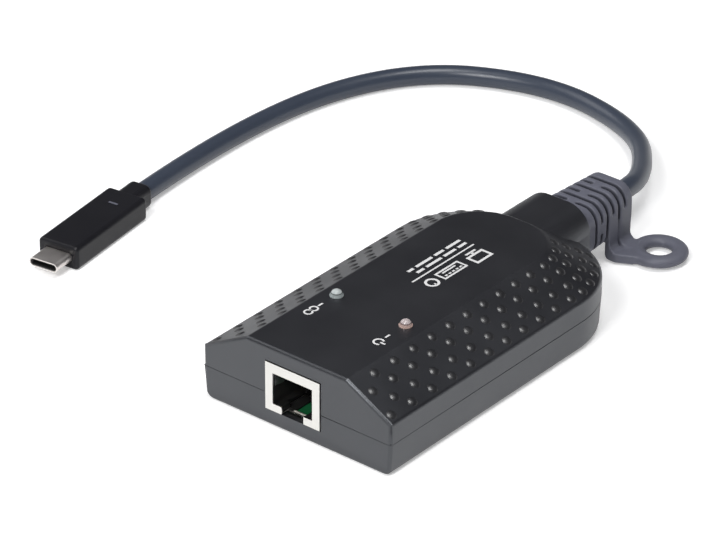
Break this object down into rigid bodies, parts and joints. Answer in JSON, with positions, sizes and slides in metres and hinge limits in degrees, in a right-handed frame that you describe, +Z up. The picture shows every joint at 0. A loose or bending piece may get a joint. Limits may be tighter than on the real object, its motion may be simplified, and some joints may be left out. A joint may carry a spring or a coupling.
{
  "type": "network console adapter",
  "caption": "Wedge-topped adapter housing with a network jack in front, two small lamps, a grooved strain relief with a hanging eye, and a short USB-C cord.",
  "frame": {"origin": "middle of the box round the housing and strain relief, on the surface that the tray stands on", "axes": "+X to the right seen from the jack, +Y from the jack towards the cord, +Z up"},
  "size_m": [0.1347, 0.1731, 0.0227],
  "materials": {
    "cover_plastic": "fine-grained charcoal black",
    "tray_plastic": "fine-grained charcoal black",
    "screw_steel": "blackened steel",
    "board": "green solder mask",
    "shield_metal": "bright tinned sheet",
    "jack_plastic": "black moulding",
    "contact_gold": "gold plated",
    "lamp_clear": "water-clear resin",
    "lamp_tinted": "clear resin with a faint warm tint",
    "tinned_wire": "tinned",
    "component_black": "black epoxy",
    "capacitor_can": "bare aluminium can",
    "connector_white": "natural nylon",
    "core_insulation": "coloured insulation",
    "relief_rubber": "satin blue-grey",
    "cord_jacket": "satin dark blue-grey",
    "plug_plastic": "satin black",
    "tip_steel": "satin stainless steel"
  },
  "bodies": {
    "root": {"upper_cover": "cover_plastic", "lower_tray": "tray_plastic", "housing_screws": "screw_steel", "circuit_board": "board", "jack_shield": "shield_metal", "jack_insulator": "jack_plastic", "jack_contacts": "contact_gold", "link_lamp": "lamp_clear", "power_lamp": "lamp_tinted", "lamp_leads": "tinned_wire", "network_transformer": "component_black", "main_chip": "component_black", "network_chip": "component_black", "memory_chip": "component_black", "crystal_can": "tinned_wire", "capacitors": "capacitor_can", "cord_header": "connector_white", "header_plug": "connector_white", "core_wires": "core_insulation", "strain_relief": "relief_rubber", "cord": "cord_jacket", "plug_overmould": "plug_plastic", "plug_tip": "tip_steel", "plug_insert": "jack_plastic", "plug_contacts": "contact_gold", "plug_board": "board"}
  },
  "joints": []
}
